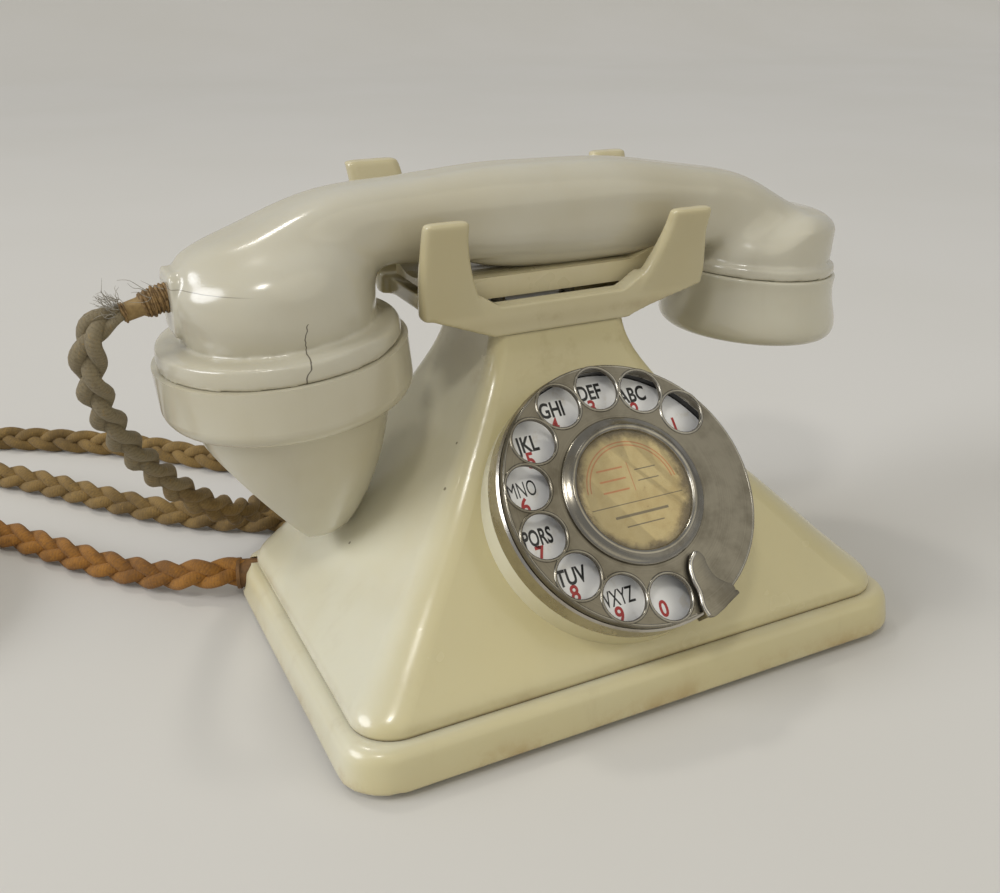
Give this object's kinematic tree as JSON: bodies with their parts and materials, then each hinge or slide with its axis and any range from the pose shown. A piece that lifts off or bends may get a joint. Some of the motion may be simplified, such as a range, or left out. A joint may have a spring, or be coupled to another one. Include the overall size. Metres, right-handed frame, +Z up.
{
  "type": "rotary telephone",
  "caption": "Table telephone with a pyramid body, a sloping rotary dial, a cradle with horns, and a handset with a hooded mouthpiece on plaited cords.",
  "frame": {"origin": "on the surface that the feet stand on, under the middle of the rectangular base", "axes": "+Z up, -Y towards the dial's side, +X to the right as seen by the caller; the mouthpiece end of the handset is at -X"},
  "size_m": [0.4112, 0.3176, 0.1416],
  "materials": {
    "case_ivory": "moulded ivory, aged, soft gloss",
    "cradle_cream": "moulded cream, yellower with age",
    "handset_ivory": "moulded off-white, greyed, soft gloss",
    "bright_metal": "worn nickel plate",
    "dark_metal": "plain steel",
    "brass": "machined brass",
    "enamel": "white enamel",
    "card": "aged cream card",
    "window": "clear, lightly scratched",
    "cord_brown": "plaited brown cotton",
    "whip": "wound thread",
    "insulator": "dark moulded insulator",
    "winding": "varnished winding",
    "rubber": "black rubber",
    "plate": "black enamelled plate",
    "capsule": "plain metal capsule",
    "block_brown": "dark brown moulding"
  },
  "bodies": {
    "base": {"base_plinth": "case_ivory", "body_case": "case_ivory", "cradle": "cradle_cream", "base_plate": "plate", "base_feet": "rubber", "base_screws": "dark_metal", "cord_grommets": "rubber", "cradle_screws": "dark_metal", "plunger_guides": "brass", "plunger_spring": "dark_metal", "switch_bracket": "dark_metal", "lever_pin": "dark_metal", "switch_springs": "brass", "switch_insulators": "insulator", "coil_cheeks": "insulator", "coil_winding": "winding", "coil_core": "dark_metal", "terminal_strip": "insulator", "terminal_screws": "brass", "dial_case": "bright_metal", "number_plate": "enamel", "dial_plate": "brass", "dial_bush": "brass", "dial_bridge": "brass", "dial_pillars": "dark_metal", "spring_barrel": "brass", "mainspring": "dark_metal", "governor_cup": "brass", "impulse_block": "insulator", "impulse_springs": "brass", "finger_stop": "bright_metal", "handset_cord_lay": "cord_brown", "line_cord_run": "cord_brown", "line_cord_coil": "cord_brown", "line_cord_tail": "cord_brown", "terminal_base": "block_brown", "terminal_cover": "block_brown", "terminal_cover_screw": "brass"},
    "handset": {"handset_handle": "handset_ivory", "mouthpiece": "handset_ivory", "transmitter_inset": "capsule", "ear_cap": "handset_ivory", "receiver_capsule": "capsule", "receiver_diaphragm": "dark_metal", "cord_whipping": "whip", "handset_cord_drop": "cord_brown"},
    "plunger": {"plunger_bar": "cradle_cream", "plunger_stems": "dark_metal"},
    "lever": {"switch_lever": "insulator"},
    "dial": {"finger_wheel": "bright_metal", "label_card": "card", "label_window": "window", "label_ring": "bright_metal", "dial_spindle": "dark_metal", "main_gear": "brass", "impulse_cam": "insulator"},
    "governor": {"pinion_shaft": "dark_metal", "governor_arm": "brass", "governor_weights": "brass"}
  },
  "joints": [
    {"name": "handset_lift", "type": "slide", "parent": "base", "child": "handset", "axis": [0, 0, 1], "range_m": [0, 0.08]},
    {"name": "plunger_slide", "type": "slide", "parent": "base", "child": "plunger", "axis": [0, 0, 1], "range_m": [0, 0.005], "deforming": ["plunger_spring"]},
    {"name": "switch_lever", "type": "hinge", "parent": "base", "child": "lever", "pos_m": [-0.012, 0.028, 0.055], "axis": [-1, 0, 0], "range_deg": [0, 14.5]},
    {"name": "dial_turn", "type": "hinge", "parent": "base", "child": "dial", "pos_m": [0, -0.0414, 0.0611], "axis": [0, -0.729, 0.6845], "range_deg": [-311, 0]},
    {"name": "governor_spin", "type": "hinge", "parent": "base", "child": "governor", "pos_m": [-0.0138, -0.02504, 0.07852], "axis": [0, -0.729, 0.6845], "range_deg": [0, 1244.5]}
  ],
  "couplings": [
    {"joint": "plunger_slide", "follows": "handset_lift", "ratio": 0.0625},
    {"joint": "switch_lever", "follows": "handset_lift", "rad_per_m": 3},
    {"joint": "governor_spin", "follows": "dial_turn", "ratio": -4}
  ]
}
